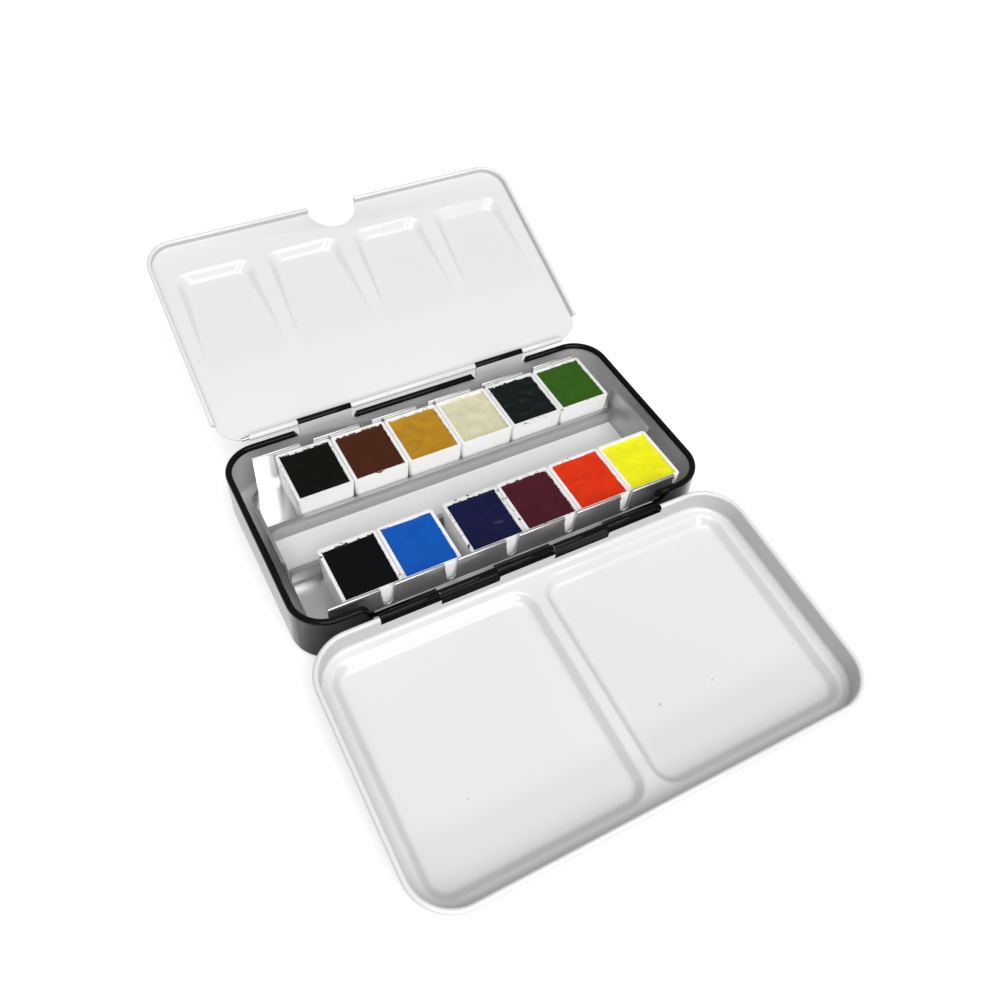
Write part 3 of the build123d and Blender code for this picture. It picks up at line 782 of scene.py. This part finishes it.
def shape_cake(number, wrinkle):
    """A cake in its pan: rounded corners, crept and ragged edge, grooves and wrinkles."""
    low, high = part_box(f"paint_{number:02d}")
    size = high - low
    middle = (low + high) / 2
    bpy.ops.object.select_all(action="DESELECT")
    bpy.ops.mesh.primitive_cube_add(size=1, location=middle, scale=size)
    cake = bpy.context.object
    bpy.ops.object.transform_apply(location=True, rotation=False, scale=True)
    select_faces(cake, lambda face: face.normal.z < -facing_limit)
    bpy.ops.transform.resize(value=(cake_foot, cake_foot, 1), center_override=middle)
    select_faces(cake, lambda face: face.normal.z > facing_limit)
    bpy.ops.mesh.subdivide(number_cuts=cake_cuts)
    bpy.ops.object.mode_set(mode="OBJECT")
    grooves = draw_grooves(size, wrinkle)
    top = cake.vertex_groups.new(name="top")
    for vertex in cake.data.vertices:
        if vertex.co.z < high.z - top_band:
            continue
        dx = vertex.co.x - middle.x
        dy = vertex.co.y - middle.y
        edge = min(size.x / 2 - abs(dx), size.y / 2 - abs(dy))
        round_corner(vertex, dx, dy, size)
        ragged = noise.noise(Vector((vertex.co.x, vertex.co.y, number * MM)) * ragged_scale)
        if edge < edge_band and ragged > ragged_cut:
            spill = min(spill_limit, spill_gain * (ragged - ragged_cut) * (spill_least + wrinkle))
            reach_out = 1 + spill / math.hypot(dx, dy)
            vertex.co.x = middle.x + dx * reach_out
            vertex.co.y = middle.y + dy * reach_out
            vertex.co.z = pan_high.z + spill_height
            continue
        creep = creep_height * math.exp(-edge / creep_width)
        vertex.co.z += creep - cake_sink + groove_lift(grooves, dx, dy, size)
        top.add([vertex.index], 1.0, "REPLACE")
    for texture, strength in ((broad_noise, broad_height), (wrinkle_noise, wrinkle_height * wrinkle)):
        rough = cake.modifiers.new("rough", "DISPLACE")
        rough.texture = texture
        rough.texture_coords = "LOCAL"
        rough.direction = "Z"
        rough.vertex_group = "top"
        rough.strength = strength
        bpy.ops.object.modifier_apply(modifier=rough.name)
    bpy.ops.object.shade_smooth_by_angle(angle=cake_smooth)
    return cake


# %% [markdown]
# ## The look of dry paint
# A dry cake is a deep colour with a soft sheen. A slow noise moves the colour between a darker
# and a lighter tone and changes the sheen with it, a few pale specks lie on top, and a fine
# noise gives the skin a little tooth.

# %% Paint finish and all twelve cakes
tone_scale = 240
skin_scale = 900
skin_depth = 0.3 * MM
paint_speck_scale = 900
paint_speck_cut = 0.83
dark_share = 0.72
light_share = 1.14
light_lift = 0.001
pale_share = 0.6
pale_lift = 0.25


def paint_finish(name, color):
    """Dry watercolour in one colour, with its tones, specks and sheen."""
    material, tree, shader = start_material(name)
    shader.inputs["Specular IOR Level"].default_value = 0.12
    blotch = object_noise(tree, tone_scale, detail=5.0)
    dark = tuple(c * dark_share for c in color)
    light = tuple(min(1, c * light_share + light_lift) for c in color)
    mixed = mix_color(tree, blotch.outputs["Fac"], dark, light)
    pale = tuple(min(1, c * pale_share + pale_lift) for c in color)
    specks = speckle(tree, paint_speck_scale, paint_speck_cut)
    join(tree, mix_color(tree, specks, mixed, pale), shader.inputs["Base Color"])
    skin = object_noise(tree, skin_scale, detail=4.0)
    spread_roughness(tree, shader, blotch, roughness=0.2, low=0.6, high=1.5)
    bump_from(tree, shader, skin.outputs["Fac"], strength=0.15, distance=skin_depth)
    return material


for number, (name, color, _, wrinkle) in enumerate(paints, start=1):
    cake = shape_cake(number, wrinkle)
    cake.name = f"cake_{name}"
    cake.data.materials.append(paint_finish(f"paint_{name}", color))
    finish_piece(cake, [f"paint_{number:02d}"])
print("cakes:", number, "faces each:", len(cake.data.polygons))

# %% [markdown]
# ## The floor
# The set stands on a white table. The camera, and surfaces that mirror the floor or let it
# through, see a glow added to it, which makes the ground white. Matt surfaces don't see the
# glow, so they get no more light from the floor than the lamps and the sky put there. The set's
# shadow stays on it.

# %% Floor
floor_size = 3.0
floor_glow = 0.44
bpy.ops.object.select_all(action="DESELECT")
bpy.ops.mesh.primitive_plane_add(size=floor_size, location=(0, 0, 0))
floor = bpy.context.object
floor.name = "floor"
floor_material, floor_tree, floor_shader = start_material("floor_white")
floor_shader.inputs["Base Color"].default_value = (0.9, 0.9, 0.9, 1)
floor_shader.inputs["Roughness"].default_value = 0.6
path = node(floor_tree, "ShaderNodeLightPath")
seen = node(floor_tree, "ShaderNodeMath", operation="MAXIMUM")
join(floor_tree, path.outputs["Is Camera Ray"], seen.inputs[0])
join(floor_tree, path.outputs["Is Glossy Ray"], seen.inputs[1])
seen_through = node(floor_tree, "ShaderNodeMath", operation="MAXIMUM")
join(floor_tree, seen.outputs["Value"], seen_through.inputs[0])
join(floor_tree, path.outputs["Is Transmission Ray"], seen_through.inputs[1])
glow = node(floor_tree, "ShaderNodeEmission", Strength=floor_glow)
both = node(floor_tree, "ShaderNodeAddShader")
pick = node(floor_tree, "ShaderNodeMixShader")
join(floor_tree, floor_shader.outputs["BSDF"], both.inputs[0])
join(floor_tree, glow.outputs["Emission"], both.inputs[1])
join(floor_tree, seen_through.outputs["Value"], pick.inputs["Fac"])
join(floor_tree, floor_shader.outputs["BSDF"], pick.inputs[1])
join(floor_tree, both.outputs["Shader"], pick.inputs[2])
join(floor_tree, pick.outputs["Shader"], floor_tree.nodes["Material Output"].inputs["Surface"])
floor.data.materials.append(floor_material)
print("floor:", floor_size, "m across")

# %% [markdown]
# ## Sky and softboxes
# A softbox high in front shapes the set, and a low strip under it puts bright lines on the
# slopes that face it. The sky is a dim grey, a little brighter overhead than at the horizon, so
# that it doesn't wash the shade out of the walls.

# %% Sky and softboxes
sky_heights = (0.25, 0.85)
sky_levels = (0.36, 0.42)
world = bpy.data.worlds.new("studio")
bpy.context.scene.world = world
world.use_nodes = True
sky = world.node_tree
aim = node(sky, "ShaderNodeTexCoord")
rise = node(sky, "ShaderNodeSeparateXYZ")
join(sky, aim.outputs["Generated"], rise.inputs["Vector"])
ceiling = node(sky, "ShaderNodeMapRange", interpolation_type="SMOOTHSTEP")
ceiling.inputs["From Min"].default_value = sky_heights[0]
ceiling.inputs["From Max"].default_value = sky_heights[1]
ceiling.inputs["To Min"].default_value = sky_levels[0]
ceiling.inputs["To Max"].default_value = sky_levels[1]
join(sky, rise.outputs["Z"], ceiling.inputs["Value"])
join(sky, ceiling.outputs["Result"], sky.nodes["Background"].inputs["Strength"])
sky.nodes["Background"].inputs["Color"].default_value = (1, 1, 1, 1)


def softbox(name, place, width, height, power):
    """A flat lamp that looks at the middle of the set; sizes in metres, power in watts."""
    data = bpy.data.lights.new(name, "AREA")
    data.shape = "RECTANGLE"
    data.size = width
    data.size_y = height
    data.energy = power
    lamp = bpy.data.objects.new(name, data)
    lamp.location = place
    lamp.rotation_euler = (-Vector(place)).to_track_quat("-Z", "Y").to_euler()
    bpy.context.scene.collection.objects.link(lamp)


softbox("high_softbox", (-0.04, -0.6, 0.8), width=1.0, height=0.75, power=8.2)
softbox("low_strip", (-0.1, -1.0, 0.35), width=1.0, height=0.12, power=2.2)
print("light ready")
